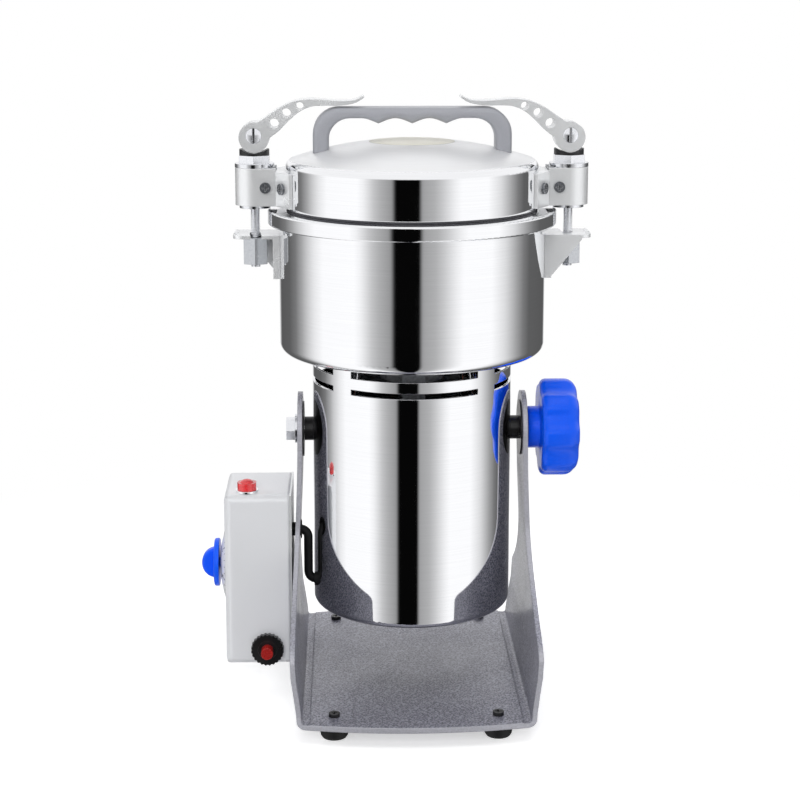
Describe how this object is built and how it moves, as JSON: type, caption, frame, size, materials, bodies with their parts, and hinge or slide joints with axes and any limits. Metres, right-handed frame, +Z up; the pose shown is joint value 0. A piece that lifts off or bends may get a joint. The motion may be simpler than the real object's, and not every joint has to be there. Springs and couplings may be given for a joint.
{
  "type": "electric spice grinder",
  "caption": "Electric spice grinder: a steel bowl and clamped lid over a motor tube that tilts in a yoke, with a timer box and a star lock knob.",
  "frame": {"origin": "on the table under the motor's axis, 6 mm behind the middle of the four feet", "axes": "+Z up along the motor's axis, +X to the viewer's right along the tilt axis, -Y to the front"},
  "size_m": [0.2452, 0.206, 0.379],
  "materials": {
    "hammertone": "grey hammertone paint over a casting",
    "box_paint": "smooth light silver paint",
    "polished": "mirror polished stainless steel",
    "steel": "plain machined steel",
    "casting": "plain cast aluminium",
    "black_rubber": "moulded black rubber",
    "black_plastic": "moulded black plastic",
    "seal_silicone": "dark silicone rubber",
    "dial_plastic": "smooth white plastic",
    "blue_plastic": "smooth bright blue plastic",
    "grey_plastic": "fine grained grey plastic",
    "red_lens": "clear red plastic",
    "red_plastic": "smooth red plastic",
    "carbon": "pressed carbon",
    "copper": "copper winding and bars",
    "laminations": "stacked steel sheets"
  },
  "bodies": {
    "stand": {"base_yoke": "hammertone", "feet": "black_rubber", "foot_screws": "black_plastic", "friction_washers": "black_plastic", "control_box": "box_paint", "box_backplate": "steel", "timer_body": "steel", "timer_dial": "dial_plastic", "pilot_lamp": "red_lens", "lamp_bezel": "polished", "breaker_body": "black_plastic", "breaker_nut": "black_plastic", "cord_gland": "black_rubber", "arm_grommet": "black_rubber", "motor_lead": "black_rubber"},
    "timer_knob": {"timer_knob": "blue_plastic"},
    "reset_button": {"reset_button": "red_plastic"},
    "housing": {"motor_grommet": "black_rubber", "motor_shell": "polished", "bottom_cover": "black_plastic", "deck_plate": "casting", "tie_bolts": "steel", "lower_bracket": "casting", "stator_core": "laminations", "field_coils": "copper", "carbon_brushes": "carbon", "motor_bearings": "steel", "pivot_bosses": "black_plastic", "pivot_bolt": "steel", "pivot_washer": "steel", "bowl_shell": "polished", "grinding_chamber": "polished", "rim_ring": "polished", "lid_lugs": "steel", "shaft_seal": "seal_silicone"},
    "tilt_knob": {"tilt_knob": "blue_plastic", "tilt_stud": "steel"},
    "rotor": {"motor_shaft": "steel", "armature": "laminations", "commutator": "copper", "cooling_fan": "black_plastic", "lower_blade": "steel", "upper_blade": "steel", "blade_spacer": "steel", "blade_nut": "steel"},
    "seal": {"lid_seal": "seal_silicone"},
    "lid": {"lid_shell": "polished", "lid_liner": "polished", "lid_handle": "grey_plastic", "clamp_brackets": "steel", "clamp_straps": "steel", "lid_screws": "steel", "guide_sleeves": "steel", "cam_cups": "black_plastic"},
    "stud_left": {"stud_left": "steel", "nut_left": "steel"},
    "stud_right": {"stud_right": "steel", "nut_right": "steel"},
    "lever_left": {"lever_left": "polished"},
    "lever_right": {"lever_right": "polished"}
  },
  "joints": [
    {"name": "housing_tilt", "type": "hinge", "parent": "stand", "child": "housing", "pos_m": [0, 0, 0.1685], "axis": [1, 0, 0], "range_deg": [-90, 90], "deforming": ["motor_lead"]},
    {"name": "tilt_lock_turn", "type": "hinge", "parent": "housing", "child": "tilt_knob", "pos_m": [0.09, 0, 0.1685], "axis": [1, 0, 0], "range_deg": [0, 360]},
    {"name": "timer_turn", "type": "hinge", "parent": "stand", "child": "timer_knob", "pos_m": [-0.12, 0, 0.0805], "axis": [1, 0, 0], "range_deg": [0, 300]},
    {"name": "reset_press", "type": "slide", "parent": "stand", "child": "reset_button", "axis": [0, 1, 0], "range_m": [0, 0.0025], "stiffness_N_per_m": 400},
    {"name": "rotor_spin", "type": "hinge", "parent": "housing", "child": "rotor", "pos_m": [0, 0, 0.2], "axis": [0, 0, 1], "continuous": true},
    {"name": "lid_lift", "type": "slide", "parent": "housing", "child": "seal", "axis": [0, 0, 1], "range_m": [0, 0.15]},
    {"name": "lid_turn", "type": "hinge", "parent": "seal", "child": "lid", "pos_m": [0, 0, 0.31], "axis": [0, 0, 1], "range_deg": [0, 20]},
    {"name": "left_stud_drop", "type": "slide", "parent": "lid", "child": "stud_left", "axis": [0, 0, -1], "range_m": [0, 0.0025]},
    {"name": "left_lever_open", "type": "hinge", "parent": "stud_left", "child": "lever_left", "pos_m": [-0.0972, 0, 0.3546], "axis": [0, -1, 0], "range_deg": [0, 145]},
    {"name": "right_stud_drop", "type": "slide", "parent": "lid", "child": "stud_right", "axis": [0, 0, -1], "range_m": [0, 0.0025]},
    {"name": "right_lever_open", "type": "hinge", "parent": "stud_right", "child": "lever_right", "pos_m": [0.0972, 0, 0.3546], "axis": [0, 1, 0], "range_deg": [0, 145]}
  ],
  "couplings": [
    {"joint": "left_stud_drop", "follows": "left_lever_open", "m_per_rad": 0.00098786},
    {"joint": "right_stud_drop", "follows": "right_lever_open", "m_per_rad": 0.00098786}
  ]
}
